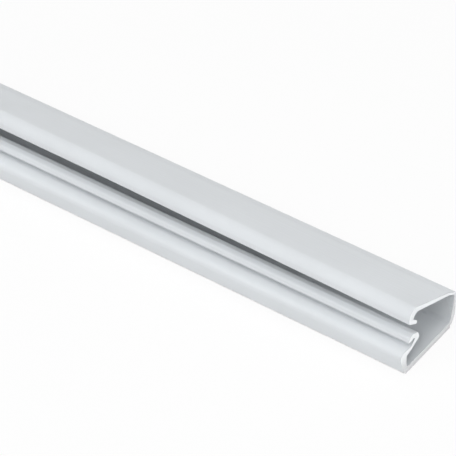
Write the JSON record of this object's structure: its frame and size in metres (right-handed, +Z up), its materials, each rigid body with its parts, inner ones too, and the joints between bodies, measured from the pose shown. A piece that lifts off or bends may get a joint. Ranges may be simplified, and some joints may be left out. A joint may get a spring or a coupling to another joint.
{
  "type": "cord cover raceway",
  "caption": "Straight one-piece cord cover channel with a thin hinged lid sprung open, a barbed lip and a curled catch, on an adhesive foam strip.",
  "frame": {"origin": "centre of the footprint, on the floor under the foam tape", "axes": "+X along the stock, +Y towards the hinge side, so the slot and the lip face -Y, and +Z up from the surface that the tape sticks to"},
  "size_m": [0.4, 0.0272, 0.0228],
  "materials": {
    "pvc": "satin white extruded PVC",
    "foam": "fine-celled white foam tape, dull"
  },
  "bodies": {
    "root": {"raceway_channel": "pvc", "foam_tape": "foam"}
  },
  "joints": []
}
